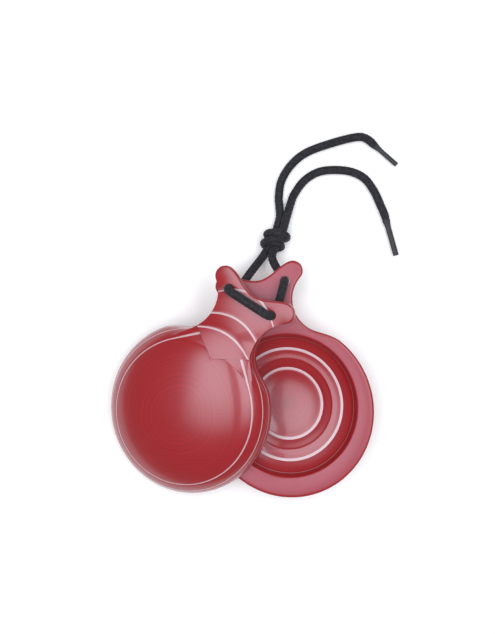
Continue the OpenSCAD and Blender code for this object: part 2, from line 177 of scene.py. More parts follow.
class CastanetColours(bpy.types.PropertyGroup):
    """Colours of the laminate, the cord and the table"""

    red: bpy.props.FloatVectorProperty(
        name="Red fibre", subtype="COLOR", size=3, default=(0.33, 0.010, 0.013),
        description="Colour of the thick red plies")
    face: bpy.props.FloatVectorProperty(
        name="Playing face", subtype="COLOR", size=3, default=(0.34, 0.030, 0.042),
        description="Colour of the red playing faces")
    pale: bpy.props.FloatVectorProperty(
        name="Pale fibre", subtype="COLOR", size=3, default=(0.58, 0.39, 0.41),
        description="Colour of the thin pale plies")
    cord: bpy.props.FloatVectorProperty(
        name="Cord", subtype="COLOR", size=3, default=(0.0075, 0.0066, 0.0098),
        description="Colour of the braid")
    sleeve: bpy.props.FloatVectorProperty(
        name="Sleeve", subtype="COLOR", size=3, default=(0.03, 0.027, 0.033),
        description="Colour of the sleeves on the cord's ends")
    table: bpy.props.FloatVectorProperty(
        name="Table", subtype="COLOR", size=3, default=(0.95, 0.95, 0.95),
        description="Colour of the table")


def sizes():
    """The sizes in use"""
    return bpy.context.scene.castanet_sizes


def colours():
    """The colours in use"""
    return bpy.context.scene.castanet_colours


# ---------------------------------------------------------------- outline of a shell

def lookup(x, table):
    """Straight-line lookup in a short list of (x, value) pairs"""
    if x <= table[0][0]:
        return table[0][1]
    for (x0, v0), (x1, v1) in zip(table, table[1:]):
        if x <= x1:
            return v0 + (v1 - v0) * (x - x0) / (x1 - x0)
    return table[-1][1]


def eased(x, table):
    """Smooth lookup in a short list of (x, value) pairs, with no overshoot"""
    last = len(table) - 1
    rise = [(v1 - v0) / (x1 - x0) for (x0, v0), (x1, v1) in zip(table, table[1:])]
    slope = [rise[0]] + [2 * a * b / (a + b) for a, b in zip(rise, rise[1:])] + [rise[-1]]
    x = min(max(x, table[0][0]), table[last][0])
    i = next(k for k in range(last) if x <= table[k + 1][0])
    (x0, v0), (x1, v1) = table[i], table[i + 1]
    h = x1 - x0
    t = (x - x0) / h
    return ((1 + 2 * t) * (1 - t) ** 2 * v0 + t * (1 - t) ** 2 * h * slope[i]
            + t * t * (3 - 2 * t) * v1 + t * t * (t - 1) * h * slope[i + 1])


def polar(cx, cy, r, a):
    """The point at distance r and angle a, in degrees, from a centre"""
    return Vector((cx + r * math.cos(math.radians(a)), cy + r * math.sin(math.radians(a))))


def bend(p, u, v, q, n):
    """n points of a smooth curve that leaves p in direction u and nears q in direction v"""
    k = (q - p).length / 3
    a, b = p + k * u.normalized(), q - k * v.normalized()
    out = []
    for i in range(n):
        t = i / n
        w = 1 - t
        out.append(w ** 3 * p + 3 * w * w * t * a + 3 * w * t * t * b + t ** 3 * q)
    return out


class Outline:
    """The shell's outline at each height over its playing face"""

    # Fullness of the dome's profile at its sides and along its ridge
    SIDE_FULL, RIDGE_FULL = 2.2, 2.83
    # How much the neck's sides draw in with height, and the height where the lip ends
    DRAW_IN, LIP_Z = 0.06, 12.5
    # Curvature of the neck's top across the shell, and the least half width of the lip
    LIP_CURVE, LEAST_LIP = 0.0256, 0.4
    # Steps along each stretch of the outline
    DISC, SHOULDER, SIDE, TOP, EAR, CREST = 44, 10, 12, 18, 16, 12
    # Angle where the round part ends over the lip, and height of the face's rounded edge
    DOME_END, RIM_FALL = 88.5, 0.8
    # Angle on an ear tip where the crest between the ears starts
    CREST_TURN = 100
    # How far the upper plies stay short of the dip, and how that line curves
    DIP_SHY, DIP_CURVE = 0.5, 0.05
    # By height: the neck's reach along the shell, then the angles of the shoulder and the
    # corner on the neck's hollowed side, and the angle where the round part ends
    REACH = ((2.85, 56), (3.1, 55.3), (4.6, 48.6), (6.2, 43.7), (7.7, 40.2), (9.3, 37), (11, 31.8))
    SHOULDER_TURN = ((0, 243), (3.1, 241), (6.2, 232), (8.05, 214))
    CORNER_TURN, LAST_CORNER = ((3.1, 146), (4.6, 164), (6.2, 181.7)), 209.5
    DISC_TURN = ((0, 38), (9.3, 46), (10.4, 66), (10.8, 77), (11.4, 82), (12, 87.5))

    def __init__(self, s):
        self.s = s
        self.pale_lo = [i * s.layer_step - s.pale_layer / 2 for i in (1, 2, 3)]
        self.pale_hi = [i * s.layer_step + s.pale_layer / 2 for i in (1, 2, 3)]
        self.corner_z = self.pale_lo[2]
        self.side_x = s.waist + s.waist_radius
        self.ear_y = s.waist_y + math.sqrt(
            (s.waist_radius + s.ear_radius) ** 2 - (self.side_x - s.ear_x) ** 2)

    def fall(self, z, n):
        """Share of its full size that the dome still has at a height"""
        return math.sqrt(max(0.0, 1 - min(z / self.s.dome_height, 1) ** n))

    def dome(self, z, a):
        """Point of the round part at a height and an angle"""
        s, t = self.s, math.radians(a)
        x = s.half_width * self.fall(z, self.SIDE_FULL)
        y = s.half_length * self.fall(z, self.SIDE_FULL)
        ridge = s.half_length * self.fall(z, self.RIDGE_FULL) - y
        lift = ridge * math.sin(t) ** 4 if a > 0 else 0
        return Vector((x * math.cos(t), y * math.sin(t) - s.round_drop + lift))

    def dome_turn(self, z, a):
        """Direction in which the round part's outline runs there"""
        s, t = self.s, math.radians(a)
        f = self.fall(z, self.SIDE_FULL)
        return Vector((-s.half_width * f * math.sin(t), s.half_length * f * math.cos(t)))

    def side_point(self, z, a):
        """Point of the neck's hollowed side"""
        return polar(self.side_x, self.s.waist_y, self.s.waist_radius + self.DRAW_IN * z, a)

    def reach(self, z):
        """How far along the shell the neck's top reaches"""
        return eased(z, self.REACH + ((self.LIP_Z, self.s.lip_y),))

    def shoulder_a(self, z):
        """Angle where the shoulder meets the neck's side"""
        return eased(z, self.SHOULDER_TURN)

    def corner_a(self, z):
        """Angle where the neck's side ends"""
        return eased(z, self.CORNER_TURN + ((self.corner_z, self.LAST_CORNER),))

    def lip_point(self, z):
        """Where the neck's top meets the lip's slope"""
        s = self.s
        h = max(0.0, self.reach(z) - s.lip_y)
        x = (math.sqrt(s.lip_slope ** 2 + 4 * self.LIP_CURVE * h) - s.lip_slope) \
            / (2 * self.LIP_CURVE)
        x = max(x, self.LEAST_LIP)
        return Vector((x, s.lip_y + s.lip_slope * x))

    def corner(self, z):
        """End of the neck's top: on the neck's side, or on the lip"""
        if z < self.corner_z:
            return self.side_point(z, self.corner_a(z))
        return self.lip_point(z)

    def foot(self, z):
        """Foot of the lip's side: on the dome's outline, or further out on the shoulder"""
        if z < self.corner_z:
            return self.corner(z + self.s.lip_height)
        s = self.s
        lo, hi = 60.0, 90.0
        for _ in range(14):
            a = (lo + hi) / 2
            p = self.dome(z, a)
            if p.y - s.lip_y - s.lip_slope * p.x > 0:
                hi = a
            else:
                lo = a
        x = max(self.corner(z + s.lip_height).x, self.dome(z, lo).x)
        return Vector((x, s.lip_y + s.lip_slope * x))

    def disc_end(self, z):
        """Angle where the round part ends"""
        return lookup(z, self.DISC_TURN + ((self.LIP_Z, self.DOME_END),))

    def disc(self, z, end):
        """The round part's outline, from the low end to an angle"""
        return [self.dome(z, -90 + (end + 90) * i / self.DISC) for i in range(self.DISC)]

    def neck_half(self, z):
        """Right half of the outline above the ears, from the low end to the middle"""
        s = self.s
        if z >= self.LIP_Z:
            n = self.SHOULDER + self.SIDE + self.TOP
            return self.disc(z, self.DOME_END) + [
                self.dome(z, self.DOME_END + (90 - self.DOME_END) * i / n)
                for i in range(n + 1)]
        end = self.disc_end(z)
        low = z < self.corner_z - s.lip_height
        corner, reach = self.corner(z), self.reach(z)
        if low:
            a, b = self.shoulder_a(z), self.corner_a(z)
            side = [self.side_point(z, a + (b - a) * i / self.SIDE) for i in range(self.SIDE)]
            turn = Vector((math.sin(math.radians(a)), -math.cos(math.radians(a))))
        else:
            first = self.foot(z)
            side = [first.lerp(corner, i / self.SIDE) for i in range(self.SIDE)]
            turn = first - self.dome(z, end)
        top = []
        for i in range(self.TOP + 1):
            x = corner.x * (1 - i / self.TOP)
            top.append(Vector((x, min(reach - (reach - corner.y) * (x / corner.x) ** 2,
                                      s.dip_y - self.DIP_SHY + self.DIP_CURVE * x * x))))
        return self.disc(z, end) + bend(
            self.dome(z, end), self.dome_turn(z, end), turn, side[0], self.SHOULDER) + side + top

    def face_outline(self, z):
        """The face ply's outline, whose edge rounds off toward the playing face"""
        h = max(0.0, 1 - z / self.RIM_FALL)
        return inset(mirrored(self.ear_half(z)),
                     self.s.rim_round * (1 - math.sqrt(1 - h * h)))

    def rounding(self, z):
        """How far the ears' edge has rounded off at a height"""
        r = self.s.ear_rounding
        h = min(r, max(0.0, z - self.pale_lo[0] + r))
        return r - math.sqrt(r * r - h * h)

    def ear_half(self, z):
        """Right half of the face ply's outline, which alone carries the ears"""
        s = self.s
        end = self.disc_end(z)
        r = s.ear_radius - self.rounding(z)
        ear_a = math.degrees(math.atan2(s.waist_y - self.ear_y, self.side_x - s.ear_x))
        first, last, crest = self.shoulder_a(z), 180 + ear_a, self.CREST_TURN
        turn = Vector((math.sin(math.radians(first)), -math.cos(math.radians(first))))
        out = self.disc(z, end)
        out += bend(self.dome(z, end), self.dome_turn(z, end), turn,
                    self.side_point(z, first), self.SHOULDER)
        out += [self.side_point(z, first + (last - first) * i / self.SIDE)
                for i in range(self.SIDE)]
        out += [polar(s.ear_x, self.ear_y, r, ear_a + (crest - ear_a) * i / self.EAR)
                for i in range(self.EAR)]
        away = Vector((-math.sin(math.radians(crest)), math.cos(math.radians(crest))))
        dip = Vector((0, s.dip_y - self.rounding(z)))
        out += bend(polar(s.ear_x, self.ear_y, r, crest), away, Vector((-1, 0)), dip, self.CREST)
        return out + [dip]

    def hollow(self):
        """Profile of the hollow from the mouth to the floor, as (radius, height)"""
        lo, hi = self.pale_lo, self.pale_hi
        mouth, step, floor = self.s.hollow_radius, self.s.step_radius, self.s.hollow_depth
        wall = [(mouth, 0), (mouth - 0.7, 0.4), (mouth - 1.3, 1.5), (mouth - 1.8, lo[0]),
                (mouth - 1.9, hi[0]), (mouth - 2.7, 4), (mouth - 4.2, 5), (mouth - 6.2, lo[1])]
        rise = [(step + 4.2, hi[1]), (step + 2.4, 6.9), (step + 0.7, 7.2), (step, 7.6),
                (step - 1.8, 8.4), (step - 3.3, lo[2]), (step - 4.4, hi[2])]
        return wall + rise + [(10, floor - 0.8), (5, floor - 0.2), (0, floor)]


def mirrored(half):
    """Whole outline from its right half"""
    return half + [Vector((-p.x, p.y)) for p in reversed(half[1:-1])]


def inset(points, d):
    """The outline drawn in by d all round"""
    out = []
    for i, p in enumerate(points):
        t = (points[(i + 1) % len(points)] - points[i - 1]).normalized()
        out.append(p + d * Vector((-t.y, t.x)))
    return out


# ---------------------------------------------------------------- placement

# Direction of the lean, degrees, and how far its line clears the lower shell's rim
LEAN_DIR, LEAN_CLEAR = 7, 0.3
# Place of the cord that the upper shell swings about, in the lower shell's frame
SWING_PIVOT = Vector((-8.1, 53.5, 0))


def placements():
    """The lower shell's seat, and the matrices that set each shell's own frame in the pair's"""
    s = sizes()
    tilt = math.radians(s.tilt_dir)
    turned = Matrix.Rotation(
        math.radians(-s.lower_roll), 4, Vector((math.cos(tilt), math.sin(tilt), 0))
    ) @ Matrix.Rotation(math.radians(s.lower_dir - 90), 4, UP)
    lean_dir = math.radians(LEAN_DIR)
    low = Vector((-math.cos(lean_dir), -math.sin(lean_dir), 0))
    line = Vector((-math.sin(lean_dir), math.cos(lean_dir), 0))
    reach = Vector((s.half_width * low.x, s.half_length * low.y, 0)).length \
        - s.round_drop * low.y + LEAN_CLEAR
    at = reach * low + Vector((0, 0, s.face_gap))
    over = (
        Matrix.Translation(at) @ Matrix.Rotation(math.radians(-s.lean_angle), 4, line)
        @ Matrix.Translation(-at) @ Matrix.Translation(SWING_PIVOT)
        @ Matrix.Rotation(math.radians(-s.swing_angle), 4, UP)
        @ Matrix.Translation(-SWING_PIVOT)
        @ Matrix.Translation((0, 0, s.face_gap)))
    lean = next(j for j in frame["joints"] if j["name"] == "lean")
    seat = Matrix.Translation(Vector(lean["pos_m"]) / MM - turned @ at) @ turned
    return seat, seat @ Matrix.Rotation(math.pi, 4, "Y"), seat @ over


# ---------------------------------------------------------------- mesh helpers

# Angles, in degrees, past which an edge of a ply and of the cord is sharp
SHARP_PLY, SHARP_CORD = 38, 50
# Points round the hollow and round a cord hole, and the length of its cutter, mm
RING, HOLE_SIDES, HOLE_LONG = 112, 40, 24


def mesh_object(name, bm, *materials):
    """An object in the scene made from a bmesh, which it uses up"""
    mesh = bpy.data.meshes.new(name)
    bm.to_mesh(mesh)
    bm.free()
    for material in materials:
        mesh.materials.append(material)
    obj = bpy.data.objects.new(name, mesh)
    bpy.context.scene.collection.objects.link(obj)
    return obj


def link(name, bm, material, body, node):
    """A piece that rides on a body and stands in for a node"""
    obj = mesh_object(name, bm, material)
    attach(obj, body)
    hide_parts(node)
    return obj


def loop(bm, points):
    """A closed loop of edges through the points"""
    verts = [bm.verts.new(p) for p in points]
    return [bm.edges.new((a, b)) for a, b in zip(verts, verts[1:] + verts[:1])]


def smooth_by_angle(bm, degrees):
    """Smooth shading, with the edges past an angle left sharp"""
    for f in bm.faces:
        f.smooth = True
    for e in bm.edges:
        e.smooth = not (len(e.link_faces) == 2
                        and e.calc_face_angle(0) > math.radians(degrees))


def refined(points, n):
    """A smooth curve through the points, n steps to each span"""
    out = []
    last = len(points) - 1
    for i in range(last):
        a, b = points[max(i - 1, 0)], points[i]
        c, d = points[i + 1], points[min(i + 2, last)]
        for k in range(n):
            t = k / n
            out.append(0.5 * (2 * b + (c - a) * t + (2 * a - 5 * b + 4 * c - d) * t * t
                              + (3 * b - a - 3 * c + d) * t * t * t))
    return out + [points[-1]]


def ring(o, r):
    """The hollow's outline at one of its radii"""
    s = o.s
    return [Vector((r * (1 - s.hollow_oval) * math.cos(a), r * (1 + s.hollow_oval) * math.sin(a)))
            for a in (math.radians(-90 + 360 * i / RING) for i in range(RING))]


def lift(points, z):
    """A flat outline raised to a height"""
    return [Vector((p.x, p.y, z)) for p in points]


# The points of the hollow's profile where one ply ends and the next begins
PROFILE_ENDS = (0, 3, 4, 7, 8, 13, 14, 17)
# Steps up a thin ply, a thick one, the lip and the dome over it, and within the profile
THIN_STEPS, THICK_STEPS, LIP_STEPS, DOME_STEPS, PROFILE_STEPS = 2, 9, 12, 18, 5
# Height of the face ply's middle ring, and what two rings stay short of their edges, mm
FACE_MIDDLE, UNDER_LIP_TOP, UNDER_LIP_FOOT = 1.4, 0.03, 0.01


def heights(o, which, low, high):
    """Heights at which one ply's outline is drawn"""
    if which == len(PLIES) - 1:
        lip_top = o.LIP_Z - UNDER_LIP_TOP
        full = o.fall(o.LIP_Z, o.SIDE_FULL)
        return [low + (lip_top - low) * i / LIP_STEPS for i in range(LIP_STEPS + 1)] + [
            o.s.dome_height * (1 - (full * (1 - i / DOME_STEPS)) ** 2) ** (1 / o.SIDE_FULL)
            for i in range(DOME_STEPS)]
    if which == 0:
        r = o.s.ear_rounding
        rim = [o.RIM_FALL * (1 - math.cos(math.radians(a))) for a in range(0, 91, 10)]
        ears = [high - r * (1 - math.sin(math.radians(a))) for a in (20, 40, 60, 90)]
        return rim + [FACE_MIDDLE, high - r] + ears
    n = THIN_STEPS if "pale" in PLIES[which] else THICK_STEPS
    levels = [low + (high - low) * i / n for i in range(n + 1)]
    if PLIES[which] == "ply_3":
        levels = sorted(levels + [o.corner_z - o.s.lip_height - UNDER_LIP_FOOT])
    return levels


def ply(o, which):
    """One ply in the shell's own frame, in millimetres"""
    first, last = PROFILE_ENDS[which:which + 2]
    bounds = [0] + [z for p in zip(o.pale_lo, o.pale_hi) for z in p] + [o.s.dome_height]
    closed = which == len(PLIES) - 1
    bm = bmesh.new()
    outer = [loop(bm, lift(o.face_outline(z) if which == 0 else mirrored(o.neck_half(z)), z))
             for z in heights(o, which, *bounds[which:which + 2])]
    profile = [Vector(p).to_3d() for p in o.hollow()[first:last + 1]]
    curve = profile if "pale" in PLIES[which] else refined(profile, PROFILE_STEPS)
    inner = [loop(bm, lift(ring(o, p.x), p.y)) for p in (curve[:-1] if closed else curve)]
    for stack in (outer, inner):
        for a, b in zip(stack, stack[1:]):
            bmesh.ops.bridge_loops(bm, edges=a + b)
    bmesh.ops.triangle_fill(bm, use_beauty=True, edges=outer[0] + inner[0])
    if closed:
        for edges in (outer[-1], inner[-1]):
            peak = bmesh.ops.contextual_create(bm, geom=edges)["faces"]
            bmesh.ops.poke(bm, faces=peak)
    else:
        bmesh.ops.triangle_fill(bm, use_beauty=True, edges=outer[-1] + inner[-1])
    bmesh.ops.recalc_face_normals(bm, faces=bm.faces)
    return bm


def drill(obj, at):
    """Cuts the cord holes out of a ply"""
    s = sizes()
    for side in (-1, 1):
        bm = bmesh.new()
        r = s.hole_d / 2 * MM
        bmesh.ops.create_cone(bm, cap_ends=True, segments=HOLE_SIDES, radius1=r, radius2=r,
                              depth=HOLE_LONG * MM)
        place = at @ Matrix.Translation((side * s.hole_x, s.hole_y, 2))
        turn = place.to_3x3().normalized().to_4x4()
        bmesh.ops.transform(
            bm, matrix=Matrix.Translation(place.translation * MM) @ turn, verts=bm.verts)
        cutter = mesh_object("cutter", bm)
        cut = obj.modifiers.new("hole", "BOOLEAN")
        cut.operation = "DIFFERENCE"
        cut.solver = "EXACT"
        cut.object = cutter
        bpy.context.view_layer.objects.active = obj
        bpy.ops.object.modifier_apply(modifier=cut.name)
        bpy.data.objects.remove(cutter)


def build_shell(side, at):
    """All the plies of one shell"""
    o = Outline(sizes())
    red, pale = (bpy.data.materials[name] for name in ("lacquered_red", "lacquered_pale"))
    for k, name in enumerate(PLIES):
        bm = ply(o, k)
        layer = bm.verts.layers.float_vector.new("shell_mm")
        for v in bm.verts:
            v[layer] = v.co
        bmesh.ops.transform(bm, matrix=Matrix.Scale(MM, 4) @ at, verts=bm.verts)
        smooth_by_angle(bm, SHARP_PLY)
        node = f"{side}_{name}"
        thin = "pale" in name
        obj = link(f"{node}_skin", bm, pale if thin else red, f"{side}_shell", node)
        if k < DRILLED:
            drill(obj, at)


# ---------------------------------------------------------------- materials

def material_of(name, colour, finish):
    """A new material's node tree and its shader, with the finish set on the shader"""
    material = bpy.data.materials.new(name)
    material.use_nodes = True
    shader = material.node_tree.nodes["Principled BSDF"]
    shader.inputs["Base Color"].default_value = (*colour, 1)
    for key, value in finish.items():
        shader.inputs[key].default_value = value
    return material.node_tree, shader


def shader_node(tree, kind, values=None, **settings):
    """A new shader node with its settings, and its inputs' values by name or number"""
    n = tree.nodes.new("ShaderNode" + kind)
    for key, value in settings.items():
        setattr(n, key, value)
    for key, value in (values or {}).items():
        n.inputs[key].default_value = value
    return n


def wire(tree, joins):
    """Joins outputs to inputs, each given as a node, its output, a node and its input"""
    for source, out, target, into in joins:
        tree.links.new(source.outputs[out], target.inputs[into])


def ranged(tree, low, high, to_low, to_high, **settings):
    """A node that turns one range of values into another"""
    return shader_node(tree, "MapRange", {
        "From Min": low, "From Max": high, "To Min": to_low, "To Max": to_high}, **settings)


# Tint of the laminate's own gloss
COOL = (0.8, 0.86, 1.0, 1)
# Gloss of the coat on the dome, and how much of it the playing face lacks
DOME_COAT, FACE_LACKS = 0.6, 0.55
# Heights between which the playing face gives way to the coated sides, mm
FACE_END, COAT_START = 0.02, 0.08


def fibre(name, colour, face, grain, rough):
    """Polished laminate: fine fabric layers show as contour lines round the dome"""
    tree, shader = material_of(name, colour, {
        "Roughness": rough, "Specular IOR Level": 0.6, "Specular Tint": COOL,
        "Coat Roughness": 0.12})
    place = shader_node(tree, "Attribute", attribute_name="shell_mm")
    height = shader_node(tree, "SeparateXYZ")
    cloud = shader_node(tree, "TexNoise", {"Scale": 0.12, "Detail": 2.0})
    waver = shader_node(tree, "Math", {1: 0.25}, operation="MULTIPLY_ADD")
    layers = shader_node(tree, "TexNoise", {"Scale": 5.5, "Detail": 3.0}, noise_dimensions="1D")
    shade = ranged(tree, 0.3, 0.7, 1 - grain, 1 + grain)
    on_face = ranged(tree, FACE_END, COAT_START, 1, 0)
    coat = shader_node(tree, "Math", {1: -FACE_LACKS, 2: DOME_COAT}, operation="MULTIPLY_ADD")
    base = shader_node(tree, "Mix", data_type="RGBA")
    base.inputs["A"].default_value = (*colour, 1)
    base.inputs["B"].default_value = (*face, 1)
    tone = shader_node(tree, "HueSaturation")
    wire(tree, (
        (place, "Vector", height, 0),
        (place, "Vector", cloud, "Vector"),
        (cloud, "Fac", waver, 0),
        (height, "Z", waver, 2),
        (waver, 0, layers, "W"),
        (layers, "Fac", shade, "Value"),
        (height, "Z", on_face, "Value"),
        (on_face, 0, coat, 0),
        (coat, 0, shader, "Coat Weight"),
        (on_face, 0, base, "Factor"),
        (base, "Result", tone, "Color"),
        (shade, 0, tone, "Value"),
        (tone, 0, shader, "Base Color")))


# How dark and how bright the braid's threads are, against its colour
THREAD_DARK, THREAD_BRIGHT = 0.2, 3.2


def braid(name, colour):
    """Matt braided cord with a fine fuzz of darker and brighter threads"""
    tree, shader = material_of(name, colour, {
        "Roughness": 0.75, "Sheen Weight": 0.1, "Sheen Roughness": 0.4})
    where = shader_node(tree, "TexCoord")
    fuzz = shader_node(tree, "TexNoise", {"Scale": 900.0, "Detail": 3.0})
    spread = ranged(tree, 0.35, 0.7, 0, 1)
    mix = shader_node(tree, "Mix", data_type="RGBA")
    mix.inputs["A"].default_value = (*[c * THREAD_DARK for c in colour], 1)
    mix.inputs["B"].default_value = (*[c * THREAD_BRIGHT for c in colour], 1)
    wire(tree, (
        (where, "Object", fuzz, "Vector"),
        (fuzz, "Fac", spread, "Value"),
        (spread, 0, mix, "Factor"),
        (mix, "Result", shader, "Base Color")))


# ---------------------------------------------------------------- cord

def frames_along(path):
    """Each point of a path with two normals, carried along without twist"""
    out, w = [], None
    for i, p in enumerate(path):
        t = (path[min(i + 1, len(path) - 1)] - path[max(i - 1, 0)]).normalized()
        w = t.orthogonal() if w is None else w - w.dot(t) * t
        w.normalize()
        out.append((p, w.copy(), t.cross(w)))
    return out


def resampled(path, step):
    """The same line with its points evenly spaced, about step apart"""
    lengths = [0.0]
    for a, b in zip(path, path[1:]):
        lengths.append(lengths[-1] + (b - a).length)
    n = max(2, round(lengths[-1] / step))
    out, k = [], 0
    for i in range(n + 1):
        d = lengths[-1] * i / n
        while k < len(path) - 2 and lengths[k + 1] < d:
            k += 1
        span = lengths[k + 1] - lengths[k]
        out.append(path[k].lerp(path[k + 1], min(1, (d - lengths[k]) / span if span else 0)))
    return out


# Points round the cord, and the distance between its rings, mm
AROUND, STEP = 40, 0.25
# Strands that wind each way, their turn in radians for each mm, and how far they rise, mm
STRANDS, PITCH, RELIEF = 4, 1.9, 0.3
# The part of a strand's rise that lies below the cord's own radius
SUNK = 0.7
# Share of the radius that is left where a cord narrows into its sleeve
NARROWED = 0.72
# Clear space under a cord that lies on the table, mm
TABLE_GAP = 0.05


def braided(path, radius, start=0.0, taper=0.0):
    """A braided cord along the path, in millimetres, each strand a raised lozenge"""
    bm = bmesh.new()
    line = resampled(path, STEP)
    rings = []
    for i, (p, w, v) in enumerate(frames_along(line)):
        along = start + STEP * i
        left = STEP * (len(line) - 1 - i)
        full = radius
        if left < taper:
            full *= NARROWED + (1 - NARROWED) * math.sqrt(left / taper)
        pts = []
        for k in range(AROUND):
            a = 2 * math.pi * k / AROUND
            one = abs(math.sin(STRANDS * a + along * PITCH))
            two = abs(math.sin(STRANDS * a - along * PITCH))
            r = full + RELIEF * (math.sqrt(one * two) - SUNK)
            pts.append(p + r * (math.cos(a) * w + math.sin(a) * v))
        rings.append(loop(bm, pts))
    for a, b in zip(rings, rings[1:]):
        bmesh.ops.bridge_loops(bm, edges=a + b)
    for edges in (rings[0], rings[-1]):
        bmesh.ops.poke(bm, faces=bmesh.ops.contextual_create(bm, geom=edges)["faces"])
    bmesh.ops.recalc_face_normals(bm, faces=bm.faces)
    smooth_by_angle(bm, SHARP_CORD)
    return bm, line


def in_metres(bm):
    """The same bmesh scaled from millimetres"""
    bmesh.ops.scale(bm, vec=(MM, MM, MM), verts=bm.verts)
    return bm


def tail_points(which):
    """Points of a free end on the table, in millimetres; long_tail is the outer one"""
    lying = sizes().cord_d / 2 + TABLE_GAP
    if which == "long":
        return [Vector(p) for p in (
            (15.7, 62.6, 2.9), (16.2, 65.3, 2.5), (17.6, 71, 1.95), (17.4, 76, lying),
            (17.2, 80, lying), (18.4, 87, lying), (22.7, 94, lying), (29.6, 99.6, lying),
            (41.3, 104, lying), (51.6, 106.6, lying), (56.2, 106, lying),
            (60.4, 102.6, lying))]
    return [Vector(p) for p in (
        (17.9, 62.8, 5.9), (19, 65.3, 5.3), (20.6, 71, 4.2), (22.6, 77.4, 2.4),
        (24.2, 81.2, lying), (28.5, 87, lying), (34.5, 90.8, lying), (41.3, 91.9, lying),
        (49.2, 91.2, lying), (55.4, 88.2, lying), (59.8, 82.3, lying), (62.4, 76.6, lying),
        (64.2, 72.4, lying), (65.1, 69.4, lying))]


def back_points(side):
    """Points from a hole's face end, behind the ears, to the knot"""
    s = sizes()
    seat = placements()[0]
    h = Vector((side * s.hole_x, s.hole_y, 0))
    if side < 0:
        near = [(0.45, 0.45, -5.2), (2, 2.2, -6.3), (6.8, 6.6, -6.8)]
        far = [(10.1, 53.2, 5.6), (12.6, 57.5, 3.6)]
    else:
        near = [(-0.15, 0.6, -5.2), (-0.8, 2.8, -6.3), (-2.6, 8.1, -6.8)]
        far = [(13.8, 53, 8.5), (15.4, 57.5, 6.4)]
    return [seat @ h, seat @ (h - 1.7 * UP), seat @ (h - 3.4 * UP)] + [
        seat @ (h + Vector(p)) for p in near] + [Vector(p) for p in far]


# ---------------------------------------------------------------- operators

# Points round a sleeve, how far it starts inside the cord, and its radius there, mm
SLEEVE_SIDES, SLEEVE_START, SLEEVE_ROOT = 32, -0.8, 1.5


def sleeve(length, wide, end, u):
    """A flat crimped sleeve that carries on straight from the cord's end"""
    # Place along the sleeve, share of its width, and half of its thickness
    crimps = ((0.0, 1.45, 1.3), (0.9, 1.25, 1.0), (2.2, 1.08, 0.84), (3.5, 1, 0.78),
              (length - 0.5, 1, 0.72), (length - 0.15, 0.95, 0.68), (length, 0.8, 0.55))
    bm = bmesh.new()
    circle = bmesh.ops.create_circle(
        bm, segments=SLEEVE_SIDES, radius=1, cap_ends=False)["verts"]
    edges = bm.edges[:]
    bmesh.ops.scale(bm, vec=(SLEEVE_ROOT, SLEEVE_ROOT, 1), verts=circle)
    last, size = SLEEVE_START, (SLEEVE_ROOT, SLEEVE_ROOT)
    bmesh.ops.translate(bm, vec=(0, 0, last), verts=circle)
    for z, w, h in crimps:
        new = bmesh.ops.extrude_edge_only(bm, edges=edges)["geom"]
        verts = [g for g in new if isinstance(g, bmesh.types.BMVert)]
        edges = [g for g in new if isinstance(g, bmesh.types.BMEdge)]
        bmesh.ops.translate(bm, vec=(0, 0, z - last), verts=verts)
        now = (w * wide / 2, h)
        bmesh.ops.scale(bm, vec=(now[0] / size[0], now[1] / size[1], 1), verts=verts)
        last, size = z, now
    bmesh.ops.holes_fill(bm, edges=bm.edges[:])
    bmesh.ops.recalc_face_normals(bm, faces=bm.faces)
    side = Vector((-u.y, u.x, 0)).normalized()
    turn = Matrix((side, u.cross(side), u)).transposed().to_4x4()
    bmesh.ops.transform(bm, matrix=Matrix.Translation(end) @ turn, verts=bm.verts)
    smooth_by_angle(bm, SHARP_CORD)
    return bm


# Steps to each span of a cord's route, and how far a tail narrows into its sleeve, mm
ROUTE_STEPS, TAIL_TAPER = 8, 2.5
# Widths of the two sleeves, mm
LONG_SLEEVE_WIDE, SHORT_SLEEVE_WIDE = 2.1, 2.5


class CASTANET_OT_cord_tails(bpy.types.Operator):
    """Build the two free ends of the cord and the sleeves on them"""

    bl_idname = "castanet.cord_tails"
    bl_label = "Cord tails"

    def execute(self, context):
        s = sizes()
        material = bpy.data.materials["braided_cord"]
        for name, which, length, wide in (
                ("long_tail", "long", s.long_aglet, LONG_SLEEVE_WIDE),
                ("short_tail", "short", s.short_aglet, SHORT_SLEEVE_WIDE)):
            path = refined(tail_points(which), ROUTE_STEPS)
            bm, line = braided(path, s.cord_d / 2, taper=TAIL_TAPER)
            tail = link(name + "_braid", in_metres(bm), material, "lower_shell", name)
            u = (path[-1] - path[-2]).normalized()
            bm = sleeve(length, wide, path[-1], u)
            aglet_name = name.replace("tail", "aglet")
            aglet = link(aglet_name + "_sleeve", in_metres(bm),
                         bpy.data.materials["crimped_sleeve"], "lower_shell", aglet_name)
        return {"FINISHED"}


# Radius of the bridge strand's bends, and their height over the upper shell's face, mm
BRIDGE_BEND, BRIDGE_RISE = 2.5, 3.7
# Steps of a strand between the shells, and how far it runs straight out of a hole, mm
BETWEEN_STEPS, STRAIGHT_OUT = 24, 0.5
# Shares of that strand at which it is cut from one piece into the next
BETWEEN_CUTS = (0.4, 0.75)


